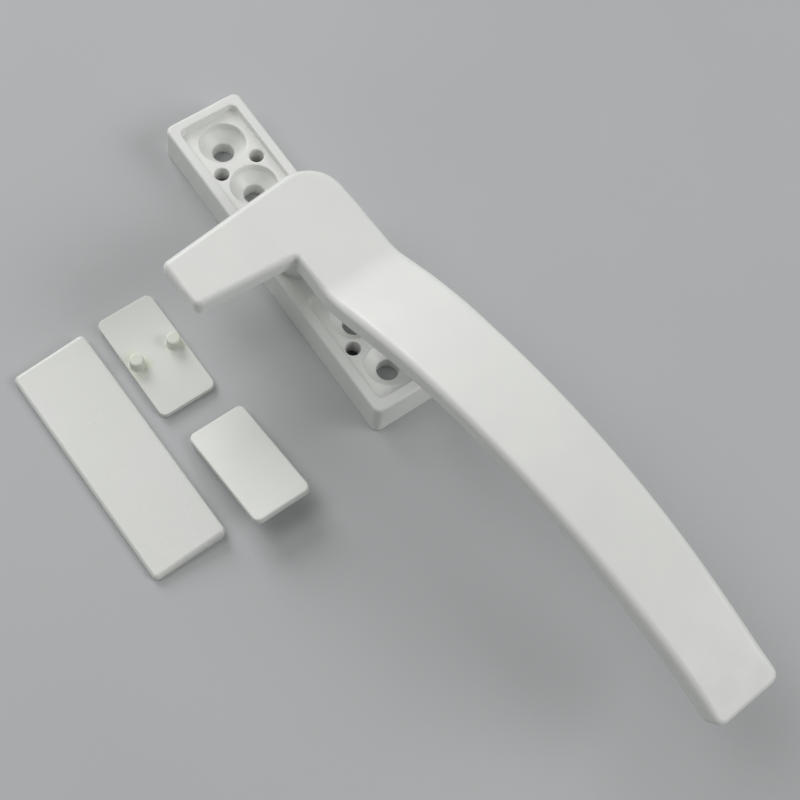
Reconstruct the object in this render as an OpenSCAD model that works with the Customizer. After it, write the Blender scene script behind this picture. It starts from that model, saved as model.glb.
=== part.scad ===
// Cockspur handle for a casement window: a screw-on base, a cranked lever whose
// nose swings over the frame, two snap-in end covers and a wedge strike plate.
// Millimetres. The origin is the pivot axis at the mounting face; +X runs along
// the base towards the grip, the nose points to -Y and +Z leaves the window.

/* [Base] */
// length of the base
base_l = 94.8; // [93:0.2:100]
// width of the base
base_w = 22; // [21:0.1:25]
// height of the base
base_h = 10.5; // [10.3:0.1:12]
// upright corner radius
base_r = 2; // [1:0.1:3]
// bevel along the top rim
base_bevel = 0.5; // [0.2:0.1:0.8]
// length of each end tray
tray_l = 30.9; // [30.9:0.1:31.1]
// width of each end tray
tray_w = 16; // [15.8:0.1:16.4]
// depth of the end trays
tray_d = 2.05; // [1.8:0.05:2.3]
// distance of each tray centre from the pivot axis
tray_x = 28.6; // [28.4:0.1:28.8]

/* [Screw holes] */
// distance of the inner screw holes from the pivot axis
screw_in_x = 22; // [21.5:0.1:22.4]
// distance of the outer screw holes from the pivot axis
screw_out_x = 36.6; // [36.2:0.1:37]
// screw clearance diameter
screw_d = 5.5; // [5:0.1:5.6]
// diameter of the screw head seat
seat_d = 11.8; // [11:0.1:12]
// height at which the cone of the seat runs into the hole
seat_z = 4.1; // [3.8:0.1:4.4]
// height at which the cone meets the upright wall of the seat
seat_top_z = 6.3; // [5.8:0.1:6.6]

/* [Lever] */
// angle between the lever and the base as drawn
lever_turn = 3.6; // [0:0.1:20]
// height of the flat hub top
hub_z = 30; // [29.5:0.1:31]
// thickness of the hub and neck
hub_t = 7.2; // [6.6:0.1:7.6]
// thickness of the nose
nose_t = 5.2; // [4.6:0.1:5.6]
// width of the neck
neck_w = 20.3; // [20:0.1:21]
// length of the neck from the pivot axis to the crease
neck_l = 23.7; // [22:0.1:25]
// radius of the outer hub corner
hub_r = 10.5; // [8:0.1:11]
// reach of the nose from the pivot axis
nose_l = 36; // [32:0.5:42]
// width of the nose where it leaves the hub
nose_root_w = 19.4; // [18.8:0.1:19.8]
// width of the nose at its end
nose_tip_w = 14; // [13:0.1:15]
// distance of the inner corner of nose and neck from the pivot axis
corner_x = 10; // [9.4:0.1:10.4]
// length from the pivot axis to the end of the grip
grip_l = 149; // [135:0.5:151]
// width of the grip at its shoulder
grip_root_w = 21.3; // [20.6:0.1:22]
// width of the grip at its end
grip_tip_w = 17.7; // [16:0.1:20]
// radius of the arched top of the grip
arch_r = 143; // [142:0.5:144]
// distance of the arch crown from the pivot axis
arch_x = 90; // [89:0.5:91]
// height of the arch crown
arch_z = 46.3; // [46:0.1:46.6]
// bevel along the upper edges of the lever
lever_bevel = 1.4; // [0.6:0.1:1.8]

/* [Pivot] */
// pivot pin diameter
pin_d = 10; // [9:0.1:10.2]
// diameter of the round boss under the hub
boss_d = 19.2; // [18.8:0.1:19.6]
// swing from the closed to the open stop
swing = 90; // [60:5:100]
// stop pin diameter
stop_d = 2.4; // [2:0.1:2.6]
// distance of the stop pin from the pivot axis
stop_x = 7.3; // [7.2:0.05:7.4]
// thickness of the friction washer
washer_t = 1; // [0.8:0.1:1.2]

/* [End covers] */
// length of an end cover
cover_l = 30.3; // [30:0.1:30.7]
// width of an end cover
cover_w = 15.3; // [15:0.1:15.6]
// thickness of an end cover
cover_t = 1.8; // [1.6:0.1:2]
// corner radius of an end cover
cover_r = 1.8; // [1.7:0.1:2.2]
// diameter of the two pegs
peg_d = 3.6; // [3.2:0.1:3.6]
// length of the two pegs
peg_l = 3.2; // [2.6:0.1:3.2]
// distance between the two pegs
peg_gap = 10.3; // [10.2:0.1:10.4]
// distance of the peg holes from the pivot axis
peg_x = 28.9; // [28.7:0.1:29.1]

/* [Strike plate] */
// length of the strike plate
strike_l = 61.3; // [50:0.1:70]
// width of the strike plate
strike_w = 19.5; // [17:0.1:22]
// thickness along the thin long edge
strike_thin = 1.8; // [1.6:0.1:2.6]
// thickness along the thick long edge
strike_thick = 3.6; // [3:0.1:4.5]

/* [Hidden] */
$fn = 96;
e = 0.01;
white = [0.93, 0.93, 0.91];
cover_white = [0.89, 0.89, 0.86];
nylon = [0.86, 0.84, 0.78];
steel = [0.66, 0.67, 0.69];
tray_z = base_h - tray_d;
// underside of the base: spring pocket, light pockets and screw bosses
pocket_d = 18.6;
pocket_z = 6;
light_z = 3;
light_l = 30.5;
light_w = 17;
light_x = 29.6;
screw_boss_d = 9.2;
bush_wall = 1;
run_gap = 0.03;
peg_hole_d = 3.7;
// levels of the stack on the pivot pin, counted up from the mounting face
pin_bottom = 1.2;
clip_z = 2.25;
clip_t = 1;
thrust_z = 3.3;
thrust_t = 1;
spring_t = 0.4;
spring_z = thrust_z + thrust_t + 0.02;
hub_bottom = base_h + washer_t + 0.05;
hub_under = hub_z - hub_t;
nose_under = hub_z - nose_t;
pin_top = hub_z - 4;
stop_bottom = 6.5;
stop_top = hub_bottom + 2.4;
slot_gap = 0.25;
slot_more = 1.5;
// the arch of the grip: its centre and the angles of its start, shoulder and end
arch_cz = arch_z - arch_r;
arch_end = asin((grip_l - arch_x) / arch_r);
arch_start = -asin((arch_x - neck_l + 1.4) / arch_r);
shoulder_l = 6;
arch_shoulder = -asin((arch_x - neck_l - shoulder_l) / arch_r);
// the hollow side of the arch turns about a lower point, so the grip thins outwards
under_r = arch_r - 9.7;
under_x = arch_x + 1;
under_cz = arch_cz + 4.2;
groove_wall = 2.4;
groove_d = 2.7;
tip_r = 2.5;
nose_r = 1.8;

module rounded_rect(l, w, r) {
  square([l - 2 * r, w], center = true);
  square([l, w - 2 * r], center = true);
  for (x = [-1, 1], y = [-1, 1])
    translate([x * (l / 2 - r), y * (w / 2 - r)]) circle(r);
}

// a 45 degree cutter along the edge from a to b, which climbs by rise; the solid
// lies left of a to b
module edge_bevel(a, b, z, c, rise = 0) {
  d = b - a;
  translate([a.x, a.y, z])
    rotate([0, -atan2(rise, norm(d)), atan2(d.y, d.x)])
      translate([0, 0, -c]) rotate([45, 0, 0])
        translate([0, -3 * c, 0]) cube([norm([d.x, d.y, rise]), 8 * c, 4 * c]);
}

// bevels around the top rim of an upright rounded block
module rim_bevel(l, w, z, c) {
  p = [[-l / 2, -w / 2], [l / 2, -w / 2], [l / 2, w / 2], [-l / 2, w / 2]];
  for (i = [0:3]) {
    d = (p[(i + 1) % 4] - p[i]) / norm(p[(i + 1) % 4] - p[i]);
    edge_bevel(p[i] - d, p[(i + 1) % 4] + d, z, c);
  }
}

module screw_seat(x) {
  translate([x, 0, -1]) cylinder(d = screw_d, h = base_h + 2);
  translate([x, 0, seat_z])
    cylinder(d1 = screw_d, d2 = seat_d, h = seat_top_z - seat_z);
  translate([x, 0, seat_top_z - e]) cylinder(d = seat_d, h = base_h);
}

module base() {
  color(white) difference() {
    linear_extrude(base_h) rounded_rect(base_l, base_w, base_r);
    rim_bevel(base_l, base_w, base_h, base_bevel);
    for (side = [-1, 1]) {
      translate([side * tray_x, 0, tray_z])
        linear_extrude(tray_d + 1) rounded_rect(tray_l, tray_w, cover_r);
      screw_seat(side * screw_in_x);
      screw_seat(side * screw_out_x);
      for (y = [-0.5, 0.5])
        translate([side * peg_x, y * peg_gap, light_z - 1])
          cylinder(d = peg_hole_d, h = base_h);
      difference() {
        translate([side * light_x, 0, -1])
          linear_extrude(light_z + 1) rounded_rect(light_l, light_w, base_r);
        for (x = [screw_in_x, screw_out_x])
          translate([side * x, 0, -2])
            cylinder(d = screw_boss_d, h = light_z + 3);
      }
    }
    translate([0, 0, -1]) cylinder(d = pin_d + 2 * bush_wall, h = base_h + 2);
    translate([0, 0, -1]) cylinder(d = pocket_d, h = pocket_z + 1);
    translate([-stop_x, 0, stop_bottom]) cylinder(d = stop_d, h = base_h);
  }
}

module pivot_bush() {
  color(nylon) translate([0, 0, pocket_z]) difference() {
    cylinder(d = pin_d + 2 * bush_wall, h = base_h - pocket_z);
    translate([0, 0, -1]) cylinder(d = pin_d + 2 * run_gap, h = base_h);
  }
}

module friction_washer() {
  color(nylon) translate([0, 0, base_h]) difference() {
    cylinder(d = boss_d - 0.2, h = washer_t);
    translate([0, 0, -1]) cylinder(d = pin_d + 0.6, h = washer_t + 2);
    translate([-stop_x, 0, -1]) cylinder(d = stop_d, h = washer_t + 2);
  }
}

module stop_pin() {
  color(steel) translate([-stop_x, 0, stop_bottom])
    cylinder(d = stop_d, h = stop_top - stop_bottom);
}

// two opposed conical spring washers between the base and the thrust washer
module disc_springs() {
  inner = pin_d / 2 + 0.35;
  outer = pocket_d / 2 - 0.4;
  rise = (pocket_z - spring_z) / 2;
  color(steel) for (flip = [0, 1])
    translate([0, 0, spring_z + rise * (1 + 0.02 * flip)]) mirror([0, 0, 1 - flip])
      rotate_extrude() polygon([[outer, 0], [outer, spring_t],
        [inner, rise * 0.98], [inner, rise * 0.98 - spring_t]]);
}

module hub_plan() {
  difference() {
    polygon([[-nose_root_w / 2, neck_w / 2 - hub_r], [-nose_tip_w / 2, -nose_l],
      [nose_tip_w / 2, -nose_l], [corner_x, -neck_w / 2],
      [corner_x, neck_w / 2 - hub_r]]);
    for (x = [-1, 1]) translate([x * nose_tip_w / 2, -nose_l]) scale([x, -1])
      corner_cut(nose_r);
  }
  translate([hub_r - nose_root_w / 2, neck_w / 2 - hub_r]) circle(hub_r);
  translate([hub_r - nose_root_w / 2, -neck_w / 2])
    square([neck_l + 3 - hub_r + nose_root_w / 2, neck_w]);
}

// what a rounding of radius r takes off the corner at the origin, solid to the lower left
module corner_cut(r) {
  difference() {
    translate([-r, -r]) square(r + 3);
    translate([-r, -r]) circle(r);
  }
}

module grip_plan(inset = 0) {
  polygon([for (y = [-1, 1], x = [0, 1, 2])
    let (i = y < 0 ? x : 2 - x,
         px = [neck_l - 2, neck_l + shoulder_l, grip_l + 4][i],
         w = [neck_w, grip_root_w, grip_tip_w][i])
    [px, y * (w / 2 - inset)]]);
}

// what lies between two angles seen from the centre of the arch
module arch_sector(from, to) {
  polygon([[0, 0], [200 * sin(from), 200 * cos(from)], [0, 260],
    [200 * sin(to), 200 * cos(to)]]);
}

// stands a side view drawn about the centre of the arch upright, 40 wide
module arch_upright() {
  translate([arch_x, 0, arch_cz]) rotate([90, 0, 0])
    linear_extrude(40, center = true) children();
}

// the hollow side of the arch, moved out by more
module under_circle(more = 0) {
  translate([under_x - arch_x, under_cz - arch_cz]) circle(under_r + more, $fn = 360);
}

// cuts a 45 degree bevel along the arched upper edge of one side of the grip
module arch_bevel(side) {
  run = grip_l - neck_l - shoulder_l;
  lean = atan2((grip_root_w - grip_tip_w) / 2, run);
  half = grip_root_w / 2 - (arch_x - neck_l - shoulder_l) * tan(lean);
  c = lever_bevel;
  translate([arch_x, side * half, arch_cz]) rotate([0, 0, -side * lean])
    rotate([90, 0, 0]) rotate([0, 0, 90 - arch_end - 2])
      rotate_extrude(angle = arch_end - arch_shoulder + 2.3)
        polygon([[arch_r + 2, -side * 2], [arch_r + 2, side * (c + 2)],
          [arch_r - c - 2, -side * 2]]);
}

module nose_bevels() {
  a = [-nose_root_w / 2, neck_w / 2 - hub_r];
  b = [-nose_tip_w / 2, -nose_l];
  c = [nose_tip_w / 2, -nose_l];
  inner = [corner_x, -neck_w / 2];
  edge_bevel(a, b, hub_z, lever_bevel);
  edge_bevel(b, c, hub_z, lever_bevel);
  edge_bevel(c, inner, hub_z, lever_bevel);
  // the neck's bevels and those up to the shoulder of the grip meet in a miter
  rise = arch_cz + arch_r * cos(arch_shoulder) - hub_z;
  miter = lever_bevel * tan(atan2(rise, shoulder_l) / 2);
  back = miter / shoulder_l;
  knee = [neck_l - miter, neck_w / 2 - back * (grip_root_w - neck_w) / 2];
  shoulder = [neck_l + shoulder_l, grip_root_w / 2];
  edge_bevel(inner, [neck_l + miter, -neck_w / 2], hub_z, lever_bevel);
  edge_bevel([knee.x, -knee.y], [shoulder.x, -shoulder.y],
    hub_z - back * rise, lever_bevel, rise * (1 + back));
  edge_bevel(shoulder, knee, hub_z + rise, lever_bevel, -rise * (1 + back));
  edge_bevel([neck_l + miter, neck_w / 2], [hub_r - nose_root_w / 2, neck_w / 2],
    hub_z, lever_bevel);
  translate([hub_r - nose_root_w / 2, neck_w / 2 - hub_r, 0])
    rotate([0, 0, 90]) rotate_extrude(angle = 90)
      polygon([[hub_r - lever_bevel - 1, hub_z + 1],
        [hub_r + 2, hub_z + 1], [hub_r + 2, hub_z - lever_bevel - 2]]);
}

module stop_slot() {
  from = 180 - (swing - lever_turn) - slot_more - lever_turn;
  to = 180 + slot_more;
  w = stop_d + 2 * slot_gap;
  translate([0, 0, hub_bottom - 1]) {
    rotate([0, 0, from]) rotate_extrude(angle = to - from)
      translate([stop_x - w / 2, 0]) square([w, stop_top - hub_bottom + 1.3]);
    for (a = [from, to]) rotate([0, 0, a]) translate([stop_x, 0, 0])
      cylinder(d = w, h = stop_top - hub_bottom + 1.3);
  }
}

module lever() {
  color(white) rotate([0, 0, lever_turn]) difference() {
    union() {
      translate([0, 0, nose_under]) linear_extrude(nose_t) hub_plan();
      translate([0, 0, hub_under]) linear_extrude(hub_t) intersection() {
        hub_plan();
        translate([-30, -neck_w / 2]) square([30.3 + neck_l, neck_w]);
      }
      intersection() {
        arch_upright() intersection() {
          difference() {
            circle(arch_r, $fn = 360);
            under_circle();
          }
          arch_sector(arch_start, arch_end);
        }
        linear_extrude(arch_z + 10) difference() {
          grip_plan();
          for (y = [-1, 1])
            translate([grip_l, y * (grip_tip_w / 2 + 0.06)]) scale([1, y])
              corner_cut(tip_r);
        }
      }
      translate([0, 0, hub_bottom]) cylinder(d = boss_d, h = hub_under - hub_bottom + 1);
    }
    translate([0, 0, hub_bottom - 1]) cylinder(d = pin_d, h = pin_top - hub_bottom + 1);
    stop_slot();
    nose_bevels();
    for (side = [-1, 1]) arch_bevel(side);
    intersection() {
      arch_upright() intersection() {
        difference() {
          under_circle(groove_d);
          under_circle(-5);
        }
        arch_sector(arch_start + 4, arch_end - 1.6);
      }
      linear_extrude(arch_z + 10) grip_plan(groove_wall);
    }
  }
}

module pivot_pin() {
  color(steel) difference() {
    translate([0, 0, pin_bottom]) cylinder(d = pin_d, h = pin_top - pin_bottom);
    translate([0, 0, clip_z]) difference() {
      cylinder(d = pin_d + 2, h = clip_t);
      translate([0, 0, -1]) cylinder(d = pin_d - 1.6, h = clip_t + 2);
    }
  }
}

module thrust_washer() {
  color(steel) translate([0, 0, thrust_z]) difference() {
    cylinder(d = pocket_d - 0.8, h = thrust_t);
    translate([0, 0, -1]) cylinder(d = pin_d, h = thrust_t + 2);
  }
}

module circlip() {
  color(steel) translate([0, 0, clip_z]) {
    rotate([0, 0, 30]) rotate_extrude(angle = 300)
      translate([pin_d / 2 - 0.8, 0]) square([2.2, clip_t]);
    for (a = [30, 330]) rotate([0, 0, a]) translate([pin_d / 2 + 0.9, 0, 0])
      difference() {
        cylinder(d = 3, h = clip_t);
        translate([0, 0, -1]) cylinder(d = 1.2, h = clip_t + 2);
      }
  }
}

// an end cover lying on its underside, pegs pointing down from z = 0
module end_cover() {
  difference() {
    linear_extrude(cover_t) rounded_rect(cover_l, cover_w, cover_r);
    rim_bevel(cover_l, cover_w, cover_t, 0.3);
  }
  for (y = [-0.5, 0.5]) translate([0, y * peg_gap, 0]) {
    translate([0, 0, -peg_l]) cylinder(d1 = peg_d - 1, d2 = peg_d, h = 0.6);
    translate([0, 0, 0.6 - peg_l]) cylinder(d = peg_d, h = peg_l);
  }
}

module end_cover_a() {
  color(cover_white) translate([1.9, -43.9, cover_t]) rotate([0, 0, 0.9])
    rotate([180, 0, 0]) end_cover();
}

module end_cover_b() {
  tilt = 13;
  color(cover_white) translate([38.6, -41.2, cover_l / 2 * sin(tilt)])
    rotate([0, 0, 0.9]) rotate([0, -tilt, 0]) end_cover();
}

module strike_plate() {
  w = strike_w / 2;
  c = 0.8;
  color(cover_white) translate([19.2, -64.9, 0]) rotate([0, 0, 1.6])
    intersection() {
      linear_extrude(strike_thick + 1) rounded_rect(strike_l, strike_w, 1.3);
      rotate([90, 0, 90]) linear_extrude(strike_l + 2, center = true)
        polygon([[-w, 0], [w, 0], [w, strike_thick - c], [w - c, strike_thick],
          [c - w, strike_thin + 0.1], [-w, strike_thin - c]]);
    }
}

base();
pivot_bush();
friction_washer();
stop_pin();
disc_springs();
lever();
pivot_pin();
thrust_washer();
circlip();
end_cover_a();
end_cover_b();
strike_plate();
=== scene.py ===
"""A white cockspur window handle with its two screw covers and its strike plate.

The castings and mouldings are rebuilt here as finely rounded meshes around the
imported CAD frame. Each is a distance field in millimetres, meshed once; the
hidden steel and nylon pieces of the pivot keep their CAD shape.
"""

import math

import bpy
import numpy as np
from mathutils import Matrix, Vector


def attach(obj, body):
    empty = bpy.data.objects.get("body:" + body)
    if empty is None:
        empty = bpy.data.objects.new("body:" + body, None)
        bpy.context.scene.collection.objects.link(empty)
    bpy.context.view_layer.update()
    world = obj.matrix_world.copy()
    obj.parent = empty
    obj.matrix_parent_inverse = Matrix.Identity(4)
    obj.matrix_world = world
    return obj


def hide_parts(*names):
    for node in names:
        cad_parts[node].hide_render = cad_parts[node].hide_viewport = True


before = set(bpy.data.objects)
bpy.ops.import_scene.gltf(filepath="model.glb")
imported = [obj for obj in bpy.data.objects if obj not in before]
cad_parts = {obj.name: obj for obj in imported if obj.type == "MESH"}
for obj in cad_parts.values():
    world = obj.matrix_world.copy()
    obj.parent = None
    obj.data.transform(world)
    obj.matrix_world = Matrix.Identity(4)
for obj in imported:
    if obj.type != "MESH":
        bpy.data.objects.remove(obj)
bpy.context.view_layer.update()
MM = 0.001


# ---------------------------------------------------------------- fields


def round_and(a, b, r):
    """Where both fields are inside, with the edge between them rounded to r."""
    over = np.sqrt(np.maximum(a + r, 0) ** 2 + np.maximum(b + r, 0) ** 2)
    return np.minimum(-r, np.maximum(a, b)) + over


def round_or(a, b, r):
    """Where either field is inside, with a fillet of r between them."""
    return -round_and(-a, -b, r)


def round_cut(a, b, r):
    """The first field without the second, with the new edge rounded to r."""
    return round_and(a, -b, r)


def smooth_step(t):
    t = np.clip(t, 0, 1)
    return t * t * (3 - 2 * t)


def plan_box(x, y, half_l, half_w, r):
    """A rectangle with corners of r, seen from above."""
    u, v = np.abs(x) - half_l + r, np.abs(y) - half_w + r
    far = np.sqrt(np.maximum(u, 0) ** 2 + np.maximum(v, 0) ** 2)
    return far + np.minimum(np.maximum(u, v), 0) - r


# ---------------------------------------------------------------- mesher


def grid_net(field, low, high, step):
    """Quads around the zero level of a field, one vertex in each cell it crosses."""
    low, high = np.array(low, float), np.array(high, float)
    n = np.ceil((high - low) / step).astype(int) + 1
    at = [low[i] + step * np.arange(n[i]) for i in range(3)]
    value = np.empty(tuple(n))
    for i in range(0, n[0], 32):
        value[i : i + 32] = field(
            at[0][i : i + 32, None, None], at[1][None, :, None], at[2][None, None, :]
        )
    cells = n - 1
    weights = np.array([cells[1] * cells[2], cells[2], 1])
    owner, crossing, quads = [], [], []
    for a in range(3):
        b, c = (a + 1) % 3, (a + 2) % 3
        start, end = [slice(None)] * 3, [slice(None)] * 3
        start[a], end[a] = slice(0, -1), slice(1, None)
        f0, f1 = value[tuple(start)], value[tuple(end)]
        ijk = np.argwhere((f0 < 0) != (f1 < 0))
        edge = np.minimum(ijk[:, b], ijk[:, c]) > 0
        edge &= (ijk[:, b] < n[b] - 1) & (ijk[:, c] < n[c] - 1)
        ijk = ijk[edge]
        v0, v1 = f0[tuple(ijk.T)], f1[tuple(ijk.T)]
        point = low + step * ijk
        point[:, a] += step * v0 / (v0 - v1)
        ring = []
        for db, dc in ((1, 1), (0, 1), (0, 0), (1, 0)):
            cell = ijk.copy()
            cell[:, b] -= db
            cell[:, c] -= dc
            ring.append(cell @ weights)
        ring = np.stack(ring, 1)
        for k in range(4):
            owner.append(ring[:, k])
            crossing.append(point)
        ring[v0 > 0] = ring[v0 > 0][:, ::-1]
        quads.append(ring)
    owner, crossing, quads = map(np.concatenate, (owner, crossing, quads))
    used, index = np.unique(owner, return_inverse=True)
    count = np.bincount(index)
    points = np.stack(
        [np.bincount(index, crossing[:, i]) / count for i in range(3)], 1
    )
    return points, np.searchsorted(used, quads)


def slope(field, p, eps=0.02):
    """The field's value and gradient at each point."""
    g = np.empty_like(p)
    for i in range(3):
        d = np.zeros(3)
        d[i] = eps
        g[:, i] = (field(*(p + d).T) - field(*(p - d).T)) / (2 * eps)
    return field(*p.T), g


def settle(field, p, rounds):
    for _ in range(rounds):
        f, g = slope(field, p)
        p = p - g * (f / np.maximum((g * g).sum(1), 0.05))[:, None]
    return p


def surface(field, low, high, step, relax=3):
    """Points, normals and quads of the field's surface, evened out along it."""
    p, quads = grid_net(field, low, high, step)
    p = settle(field, p, 3)
    a, b = quads.ravel(), np.roll(quads, -1, 1).ravel()
    links = np.bincount(a, minlength=len(p)) + np.bincount(b, minlength=len(p))
    for _ in range(relax):
        mean = np.stack(
            [
                np.bincount(a, p[b, i], len(p)) + np.bincount(b, p[a, i], len(p))
                for i in range(3)
            ],
            1,
        )
        _, g = slope(field, p)
        g /= np.linalg.norm(g, axis=1)[:, None]
        move = mean / links[:, None] - p
        p = settle(field, p + 0.5 * (move - g * (g * move).sum(1)[:, None]), 1)
    p = settle(field, p, 2)
    _, g = slope(field, p, 0.05)
    return p, g / np.linalg.norm(g, axis=1)[:, None], quads


def piece(name, shape, place, material, body, node):
    """A visible piece that stands for one CAD node, with its place in its mesh."""
    points, normals, quads = shape
    spin = np.array(place.to_3x3())
    mesh = bpy.data.meshes.new(name)
    mesh.from_pydata(
        (points * MM @ spin.T + np.array(place.translation)).tolist(), [], quads.tolist()
    )
    mesh.update()
    mesh.polygons.foreach_set("use_smooth", np.ones(len(quads), bool))
    mesh.normals_split_custom_set_from_vertices((normals @ spin.T).tolist())
    mesh.materials.append(material)
    obj = bpy.data.objects.new(name, mesh)
    bpy.context.scene.collection.objects.link(obj)
    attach(obj, body)
    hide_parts(node)
    return obj


# ---------------------------------------------------------------- sizes, mm

# base; drafts are in mm per mm of height, and EDGE and FILLET are radii
BASE_L, BASE_W, BASE_H, BASE_R = 94.8, 22.0, 10.5, 2.0
DRAFT_X, DRAFT_Y, BASE_TOP_EDGE, BASE_FOOT_EDGE = 0.043, 0.029, 0.75, 0.3
TRAY_X, TRAY_L, TRAY_W, TRAY_Z, TRAY_R = 28.6, 30.9, 16.0, 8.45, 1.8
TRAY_DRAFT, TRAY_FILLET, TRAY_EDGE = 0.06, 0.35, 0.3
SCREW_XS, SCREW_R, SEAT_R, SEAT_Z, SEAT_TOP = (22.0, 36.6), 2.75, 5.9, 4.1, 6.3
SEAT_EDGE, HOLE_EDGE = 0.25, 0.2
PEG_HOLE_X, PEG_GAP, PEG_HOLE_R = 28.9, 10.3, 1.85
# light pockets in the back of the base, with a boss around each screw hole
LIGHT_X, LIGHT_L, LIGHT_W, LIGHT_Z, SCREW_BOSS_R = 29.6, 30.5, 17.0, 3.0, 4.6
LIGHT_FILLET, LIGHT_EDGE, SCREW_BOSS_EDGE = 0.5, 0.3, 0.4
# pivot bore, the pocket under it and the hole of the stop pin
BORE_R, POCKET_R, POCKET_Z, POCKET_EDGE = 6.0, 9.3, 6.0, 0.3
STOP_X, STOP_R, STOP_HOLE_Z = 7.3, 1.2, 6.5

# lever, in its own frame: s along the grip, y across, z up
LEVER_TURN = 3.6
HUB_Z, HUB_T, HUB_R, NECK_HALF = 30.0, 7.2, 9.4, 10.15
NOSE_L, NOSE_T, NOSE_R, NOSE_ROOT, CORNER_S = 36.0, 4.9, 1.8, 9.22, 9.9
NOSE_TOP_Y = NECK_HALF - HUB_R
HUB_SIDE_FLARE, GRIP_SIDE_FLARE = 0.058, 0.113
INNER_CORNER_R, NO_FILLET = 0.8, 1e-3
# neck and grip are flat, then arched, above and below with an arc of their own
GRIP_END, TIP_R = 149.0, 2.4
ARCH_S, ARCH_Z, ARCH_R, CREASE_R = 90.0, -96.71, 143.0, 1.6
UNDER_S, UNDER_Z, UNDER_R, UNDER_CREASE_R = 91.0, -92.5, 133.3, 4.0
END_ANGLE = math.asin((GRIP_END - ARCH_S) / ARCH_R)
# the step in the underside between the thin nose and the thick neck
STEP_BACK, STEP_S, STEP_RUN, STEP_R = 2.0, 8.8, 1.6, 0.5
# edge radii, and how much less they are at the tip and at the inner corner
TOP_EDGE, TIP_LESS, TIP_RUN, CORNER_LESS, FOOT_EDGE = 1.8, 0.6, 8.0, 0.5, 0.6
# channel under the grip, measured along the arch
GROOVE_D, GROOVE_WALL, GROOVE_MID, GROOVE_HALF = 2.7, 2.4, 1.5, 57.5
GROOVE_END_R, GROOVE_FILLET, GROOVE_EDGE = 4.0, 0.9, 0.5
BOSS_R, BOSS_Z, BOSS_DRAFT, BOSS_EDGE, BOSS_FILLET = 9.6, 11.55, 0.015, 0.4, 0.5
PIN_R, PIN_TOP = 5.0, 26.0
# slot of the stop pin: middle direction and half span in degrees
SLOT_TURN, SLOT_HALF, SLOT_PLAY, SLOT_TOP = -135.0, 46.5, 0.25, 14.25

# covers and strike plate
COVER_L, COVER_W, COVER_T, COVER_R = 29.9, 15.15, 1.8, 1.8
COVER_EDGE, COVER_BACK_EDGE = 0.45, 0.2
PEG_R, PEG_L, PEG_CHAMFER, PEG_EDGE, PEG_ROOT_R = 1.8, 3.2, 0.25, 0.3, 0.35
STRIKE_L, STRIKE_W, STRIKE_R = 61.3, 19.5, 1.4
STRIKE_THIN, STRIKE_THICK, STRIKE_EDGE, STRIKE_BACK_EDGE = 1.8, 3.6, 1.0, 0.25


def base_field(x, y, z):
    ax = np.abs(x)
    half_x, half_y = BASE_L / 2 - DRAFT_X * z, BASE_W / 2 - DRAFT_Y * z
    block = plan_box(x, y, half_x, half_y, BASE_R)
    block = round_and(block, z - BASE_H, BASE_TOP_EDGE)
    block = round_and(block, -z, BASE_FOOT_EDGE)
    rise = z - TRAY_Z
    tray = plan_box(
        ax - TRAY_X,
        y,
        TRAY_L / 2 + TRAY_DRAFT * rise,
        TRAY_W / 2 + TRAY_DRAFT * rise,
        TRAY_R,
    )
    block = round_cut(block, round_and(tray, -rise, TRAY_FILLET), TRAY_EDGE)
    light = plan_box(ax - LIGHT_X, y, LIGHT_L / 2, LIGHT_W / 2, BASE_R)
    light = round_and(light, z - LIGHT_Z, LIGHT_FILLET)
    lean = math.atan2(SEAT_R - SCREW_R, SEAT_TOP - SEAT_Z)
    for sx in SCREW_XS:
        rho = np.hypot(ax - sx, y)
        light = round_cut(light, rho - SCREW_BOSS_R, SCREW_BOSS_EDGE)
    block = round_cut(block, light, LIGHT_EDGE)
    for sx in SCREW_XS:
        rho = np.hypot(ax - sx, y)
        cone = (rho - SCREW_R) * math.cos(lean) - (z - SEAT_Z) * math.sin(lean)
        seat = np.maximum(rho - SEAT_R, cone)
        block = round_cut(block, seat, SEAT_EDGE)
        block = round_cut(block, rho - SCREW_R, HOLE_EDGE)
    for side in (-1, 1):
        rho = np.hypot(ax - PEG_HOLE_X, y - side * PEG_GAP / 2)
        block = round_cut(block, rho - PEG_HOLE_R, SEAT_EDGE)
    rho = np.hypot(x, y)
    block = round_cut(block, rho - BORE_R, HOLE_EDGE)
    pocket = np.maximum(rho - POCKET_R, z - POCKET_Z)
    block = round_cut(block, pocket, POCKET_EDGE)
    stop = np.maximum(np.hypot(x + STOP_X, y) - STOP_R, STOP_HOLE_Z - z)
    return np.maximum(block, -stop)


def through(s, at, value):
    """A smooth curve through the given values."""
    at, value = np.array(at, float), np.array(value, float)
    grade = np.gradient(value, at)
    k = np.clip(np.searchsorted(at, s) - 1, 0, len(at) - 2)
    gap = at[k + 1] - at[k]
    t = np.clip((s - at[k]) / gap, 0, 1)
    start = (1 - t) ** 2 * ((1 + 2 * t) * value[k] + t * gap * grade[k])
    return start + t**2 * (
        (3 - 2 * t) * value[k + 1] - (1 - t) * gap * grade[k + 1]
    )


# where the two long sides of neck and grip lie along the lever
NEAR_AT = (0, 12, 17, 22.5, 28, 60, 100, 149)
NEAR = (10.15, 10.15, 10.35, 10.78, 10.76, 10.3, 9.68, 8.92)
FAR_AT = (0, 6, 14, 19, 22.5, 26, 31, 38, 46, 53, 60, 80, 104, 120, 128, 149)
FAR = (10.37, 10.36, 10.17, 10.02, 9.96, 10.35, 10.55, 10.52, 10.41, 10.15, 10.0)
FAR += (9.76, 9.49, 9.2, 8.98, 8.8)


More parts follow.
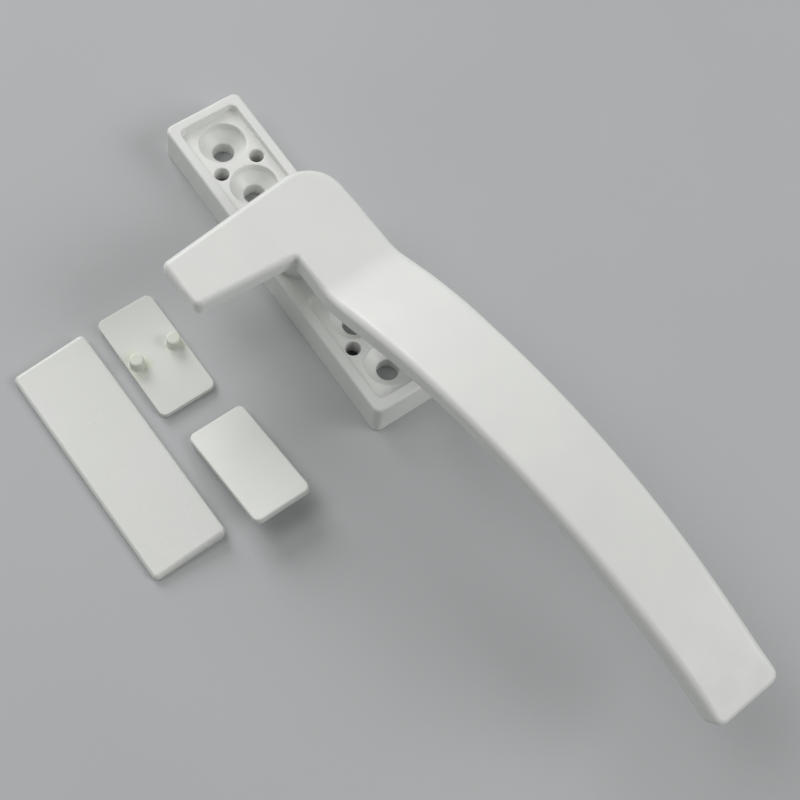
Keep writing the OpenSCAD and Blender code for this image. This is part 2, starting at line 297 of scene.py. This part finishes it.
def lever_field(s, y, z):
    near, far = through(s, NEAR_AT, NEAR), through(s, FAR_AT, FAR)
    # plan of the hub and nose; the nose flares more on the side of the grip
    left = NOSE_ROOT + HUB_SIDE_FLARE * np.minimum(y - NOSE_TOP_Y, 0)
    right = CORNER_S + GRIP_SIDE_FLARE * np.minimum(y + NECK_HALF, 0)
    nose = round_and(-s - left, y - far, HUB_R)
    nose = round_and(np.maximum(nose, s - right), -NOSE_L - y, NOSE_R)
    # plan of the neck and grip, cut off square to the arch at the tip
    sides = np.maximum(y - far, -near - y)
    out = (s - ARCH_S) * math.cos(END_ANGLE) - (z - ARCH_Z) * math.sin(END_ANGLE)
    blade = round_and(sides, out, TIP_R)
    blade = np.maximum(blade, HUB_R - NOSE_ROOT - s)
    plan = round_or(nose, blade, np.where(y < 0, INNER_CORNER_R, NO_FILLET))
    # upper and lower faces: flat, then arched after the crease; the nose is thinner
    rho = np.hypot(s - ARCH_S, z - ARCH_Z)
    top = round_or(z - HUB_Z, rho - ARCH_R, CREASE_R)
    hollow = np.hypot(s - UNDER_S, z - UNDER_Z)
    step = -near - y - STEP_BACK * smooth_step((s - STEP_S) / STEP_RUN)
    slab = round_and(HUB_Z - HUB_T - z, UNDER_R - hollow, UNDER_CREASE_R)
    under = round_and(slab, step, STEP_R)
    under = round_or(HUB_Z - NOSE_T - z, under, STEP_R)
    under = np.maximum(under, slab)
    # the soft top edge gets sharper at the tip and around the inner corner
    edge = TOP_EDGE - TIP_LESS * smooth_step((s - GRIP_END + 9) / TIP_RUN)
    corner = smooth_step((23 - s) / 10) * smooth_step((s + 2) / 4)
    edge = edge - CORNER_LESS * corner * smooth_step((-y - 6) / 3)
    body = round_and(round_and(plan, top, edge), under, FOOT_EDGE)
    # shallow channel under the grip
    angle = np.arctan2(s - ARCH_S, z - ARCH_Z) * ARCH_R
    run = np.abs(angle - GROOVE_MID) - GROOVE_HALF
    groove = round_and(sides + GROOVE_WALL, run, GROOVE_END_R)
    groove = round_and(groove, hollow - UNDER_R - GROOVE_D, GROOVE_FILLET)
    body = round_cut(body, groove, GROOVE_EDGE)
    # round boss on the pivot
    rho = np.hypot(s, y)
    boss = rho - BOSS_R + BOSS_DRAFT * (z - BOSS_Z)
    boss = round_and(boss, BOSS_Z - z, BOSS_EDGE)
    boss = np.maximum(boss, z - HUB_Z + 2)
    body = round_or(body, boss, BOSS_FILLET)
    body = round_cut(body, np.maximum(rho - PIN_R, z - PIN_TOP), HOLE_EDGE)
    # arc-shaped slot of the stop pin
    turn = math.radians(SLOT_TURN)
    u = s * math.cos(turn) - y * math.sin(turn)
    v = np.abs(s * math.sin(turn) + y * math.cos(turn))
    span = math.radians(SLOT_HALF)
    inside = v * math.cos(span) < u * math.sin(span)
    end = np.hypot(u - STOP_X * math.cos(span), v - STOP_X * math.sin(span))
    slot = np.where(inside, np.abs(rho - STOP_X), end) - STOP_R - SLOT_PLAY
    return np.maximum(body, -np.maximum(slot, z - SLOT_TOP))


def cover_field(x, y, z):
    """A screw cover with its pegs pointing down from z = 0."""
    plate = plan_box(x, y, COVER_L / 2, COVER_W / 2, COVER_R)
    plate = round_and(plate, z - COVER_T, COVER_EDGE)
    plate = round_and(plate, -z, COVER_BACK_EDGE)
    rho = np.hypot(x, np.abs(y) - PEG_GAP / 2)
    tip = (rho - PEG_R + PEG_CHAMFER - (z + PEG_L)) * math.sqrt(0.5)
    peg = round_and(rho - PEG_R, -PEG_L - z, PEG_EDGE)
    peg = round_and(peg, tip, PEG_EDGE)
    peg = np.maximum(peg, z - COVER_T / 2)
    return round_or(plate, peg, PEG_ROOT_R)


def strike_field(x, y, z):
    lean = (STRIKE_THICK - STRIKE_THIN) / STRIKE_W
    height = STRIKE_THIN + lean * (y + STRIKE_W / 2)
    top = (z - height) / math.hypot(1, lean)
    plate = plan_box(x, y, STRIKE_L / 2, STRIKE_W / 2, STRIKE_R)
    return round_and(round_and(plate, top, STRIKE_EDGE), -z, STRIKE_BACK_EDGE)


# ---------------------------------------------------------------- materials


class Nodes:
    """Short ways to build one material's nodes."""

    def __init__(self, name):
        self.material = bpy.data.materials.new(name)
        self.material.use_nodes = True
        self.tree = self.material.node_tree
        self.shader = self.tree.nodes["Principled BSDF"]
        self.where = self.tree.nodes.new("ShaderNodeTexCoord").outputs["Object"]

    def add(self, kind, inputs=(), **settings):
        node = self.tree.nodes.new(kind)
        for key, value in settings.items():
            setattr(node, key, value)
        for key, value in dict(inputs).items():
            if isinstance(value, bpy.types.NodeSocket):
                self.tree.links.new(value, node.inputs[key])
            else:
                node.inputs[key].default_value = value
        return node

    def noise(self, scale, detail=2.0, rough=0.5):
        """Even grey noise; scale is in features to the metre."""
        inputs = {
            "Vector": self.where,
            "Scale": scale,
            "Detail": detail,
            "Roughness": rough,
        }
        return self.add("ShaderNodeTexNoise", inputs).outputs["Fac"]

    def ranged(self, value, low, high, start=0.3, stop=0.7):
        inputs = {
            "Value": value,
            "From Min": start,
            "From Max": stop,
            "To Min": low,
            "To Max": high,
        }
        kind = "ShaderNodeMapRange"
        node = self.add(kind, inputs, interpolation_type="SMOOTHSTEP")
        return node.outputs["Result"]

    def mix(self, factor, a, b):
        node = self.add("ShaderNodeMix", data_type="RGBA")
        for socket, value in zip((0, 6, 7), (factor, a, b)):
            if isinstance(value, bpy.types.NodeSocket):
                self.tree.links.new(value, node.inputs[socket])
            else:
                node.inputs[socket].default_value = value
        return node.outputs[2]

    def bump(self, height, distance, strength, below=None):
        inputs = {"Height": height, "Distance": distance, "Strength": strength}
        if below is not None:
            inputs["Normal"] = below
        return self.add("ShaderNodeBump", inputs).outputs["Normal"]

    def finish(self, **sockets):
        for key, value in sockets.items():
            target = self.shader.inputs[key.replace("_", " ")]
            if isinstance(value, bpy.types.NodeSocket):
                self.tree.links.new(value, target)
            else:
                target.default_value = value
        return self.material


def tint(value, cast=0.0):
    """A grey that leans by cast away from blue, as the photo's whites do."""
    return (value * (1 - 0.3 * cast), value, value * (1 - cast), 1)


def powder_coat():
    n = Nodes("white_powder_coat")
    cloud = n.ranged(n.noise(60, 3), 0, 1)
    colour = n.mix(cloud, tint(0.80, 0.024), tint(0.825, 0.034))
    peel = n.noise(700, 2, 0.45)
    fine = n.noise(3200, 2)
    normal = n.bump(peel, 0.00004, 0.5)
    normal = n.bump(fine, 0.000006, 0.5, normal)
    rough = n.ranged(n.noise(180, 3), 0.34, 0.44)
    return n.finish(Base_Color=colour, Roughness=rough, Normal=normal)


def moulded(name, tone, rough, cast, scale, pegs=()):
    """Satin plastic; pegs are the points whose surroundings have yellowed."""
    n = Nodes(name)
    flow = n.ranged(n.noise(45, 3, 0.6), 0, 1)
    colour = n.mix(flow, tint(tone, cast), tint(tone * 1.03, cast * 0.6))
    for peg in pegs:
        gap = n.add(
            "ShaderNodeVectorMath", {0: n.where, 1: peg}, operation="DISTANCE"
        ).outputs["Value"]
        blur = n.ranged(n.noise(260, 3), -0.0012, 0.0012)
        gap = n.add("ShaderNodeMath", {0: gap, 1: blur}, operation="ADD").outputs[0]
        stain = n.ranged(gap, 0.6, 0, 0.0016, 0.0048)
        colour = n.mix(stain, colour, tint(tone * 1.02, cast + 0.13))
    smooth = n.ranged(n.noise(scale, 3), rough, rough + 0.1)
    normal = n.bump(n.noise(scale * 6, 3), 0.000012, 0.5)
    return n.finish(Base_Color=colour, Roughness=smooth, Normal=normal)


white = powder_coat()
COVER_A_PEGS = ((0.00178, -0.04892, 0.003), (0.00162, -0.03862, 0.003))
cover_a_white = moulded("cover_plastic_a", 0.755, 0.38, 0.055, 150, COVER_A_PEGS)
cover_b_white = moulded("cover_plastic_b", 0.755, 0.38, 0.06, 150)
strike_white = moulded("strike_plastic", 0.765, 0.20, 0.05, 90)


def steel(name, tone, rough):
    n = Nodes(name)
    rings = n.add(
        "ShaderNodeTexWave",
        {"Vector": n.where, "Scale": 2200.0, "Distortion": 1.5, "Detail": 2.0},
        wave_type="RINGS",
        rings_direction="Z",
    ).outputs["Fac"]
    colour = n.mix(n.ranged(n.noise(400, 3), 0, 1), tint(tone), tint(tone * 1.12))
    roughness = n.ranged(n.noise(900, 3), rough, rough + 0.12)
    normal = n.bump(rings, 0.000006, 0.6)
    return n.finish(
        Base_Color=colour, Roughness=roughness, Normal=normal, Metallic=1.0
    )


def nylon():
    n = Nodes("natural_nylon")
    colour = n.mix(
        n.ranged(n.noise(300, 3), 0, 1), tint(0.78, 0.02), tint(0.82, 0.01)
    )
    rough = n.ranged(n.noise(700, 2), 0.42, 0.54)
    return n.finish(
        Base_Color=colour,
        Roughness=rough,
        Normal=n.bump(n.noise(2500, 2), 0.00001, 0.5),
    )


# ---------------------------------------------------------------- pieces


def placed(x, y, z, turn_z, turn=0.0, axis="X"):
    """A place in the row frame, from millimetres and degrees."""
    move = Matrix.Translation(Vector((x, y, z)) * MM)
    spin = Matrix.Rotation(math.radians(turn_z), 4, "Z")
    return move @ spin @ Matrix.Rotation(math.radians(turn), 4, axis)


piece(
    "base_casting",
    surface(base_field, (-48.2, -11.8, -0.8), (48.2, 11.8, 11.3), 0.32),
    Matrix.Identity(4),
    white,
    "base_body",
    "base",
)
piece(
    "lever_casting",
    surface(lever_field, (-11, -37, 10.8), (150.5, 11.8, 47.2), 0.46),
    placed(0, 0, 0, LEVER_TURN),
    white,
    "lever_body",
    "lever",
)
cover_shape = surface(cover_field, (-16, -8.4, -4), (16, 8.4, 2.6), 0.22)
piece(
    "screw_cover_a",
    cover_shape,
    placed(1.7, -43.77, COVER_T, 0.9, 180),
    cover_a_white,
    "cover_a_body",
    "end_cover_a",
)
LEAN = 13.2
piece(
    "screw_cover_b",
    cover_shape,
    placed(
        38.8, -41.06, COVER_L / 2 * math.sin(math.radians(LEAN)), 0.9, -LEAN, "Y"
    ),
    cover_b_white,
    "cover_b_body",
    "end_cover_b",
)
piece(
    "strike_moulding",
    surface(strike_field, (-31.4, -10.6, -0.8), (31.4, 10.6, 4.4), 0.3),
    placed(19.0, -64.7, 0, 1.6),
    strike_white,
    "strike_body",
    "strike_plate",
)

HIDDEN = {
    "pivot_pin": steel("turned_steel", 0.52, 0.26),
    "thrust_washer": steel("ground_steel", 0.56, 0.30),
    "stop_pin": steel("pin_steel", 0.50, 0.30),
    "circlip": steel("spring_steel", 0.20, 0.34),
    "disc_springs": steel("blued_spring_steel", 0.26, 0.32),
    "pivot_bush": nylon(),
    "friction_washer": nylon(),
}
for node, material in HIDDEN.items():
    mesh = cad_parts[node].data
    mesh.materials.clear()
    mesh.materials.append(material)


# ---------------------------------------------------------------- stage


FLOOR_GAP = 0.00004  # keeps the floor clear of the undersides that rest on it


def stage():
    floor_mesh = bpy.data.meshes.new("floor")
    half = 3.0
    corners = [(-half, -half, 0), (half, -half, 0), (half, half, 0), (-half, half, 0)]
    floor_mesh.from_pydata(corners, [], [(0, 1, 2, 3)])
    floor = bpy.data.objects.new("floor", floor_mesh)
    bpy.context.scene.collection.objects.link(floor)
    floor.location.z = -FLOOR_GAP
    n = Nodes("pale_floor")
    cloud = n.ranged(n.noise(8, 3), 0, 1)
    tone = n.mix(cloud, (0.47, 0.48, 0.49, 1), (0.49, 0.50, 0.51, 1))
    floor_mesh.materials.append(n.finish(Base_Color=tone, Roughness=0.7))


CENTRE = Vector((0.05, -0.02, 0.02))
LAMP_DISTANCE, LAMP_SIDE = 1.3, 0.7


def soft_light(name, azimuth, height, power):
    """A square lamp aimed at the row, placed by its two angles in degrees."""
    around, up = math.radians(azimuth), math.radians(height)
    away = Vector(
        (math.cos(around) * math.cos(up), math.sin(around) * math.cos(up), math.sin(up))
    )
    data = bpy.data.lights.new(name, "AREA")
    data.shape, data.size, data.energy = "SQUARE", LAMP_SIDE, power
    lamp = bpy.data.objects.new(name, data)
    bpy.context.scene.collection.objects.link(lamp)
    lamp.location = CENTRE + LAMP_DISTANCE * away
    lamp.rotation_euler = (-away).to_track_quat("-Z", "Y").to_euler()


stage()
soft_light("key", 45, 37, 6.5)
soft_light("rim", 180, 30, 8.5)
soft_light("fill", 225, 58, 3.95)

world = bpy.data.worlds.new("studio")
world.use_nodes = True
sky = world.node_tree.nodes["Background"]
sky.inputs["Color"].default_value = (0.98, 1, 0.97, 1)
sky.inputs["Strength"].default_value = 0.185
bpy.context.scene.world = world
bpy.context.scene.view_settings.view_transform = "Standard"

camera_data = bpy.data.cameras.new("camera")
camera_data.lens, camera_data.sensor_width = 66.364, 36.0
camera = bpy.data.objects.new("camera", camera_data)
bpy.context.scene.collection.objects.link(camera)
camera.rotation_euler = [math.radians(a) for a in (23.8193, -4.6820, 54.6023)]
camera.location = (0.14585, -0.10633, 0.32636)
bpy.context.scene.camera = camera
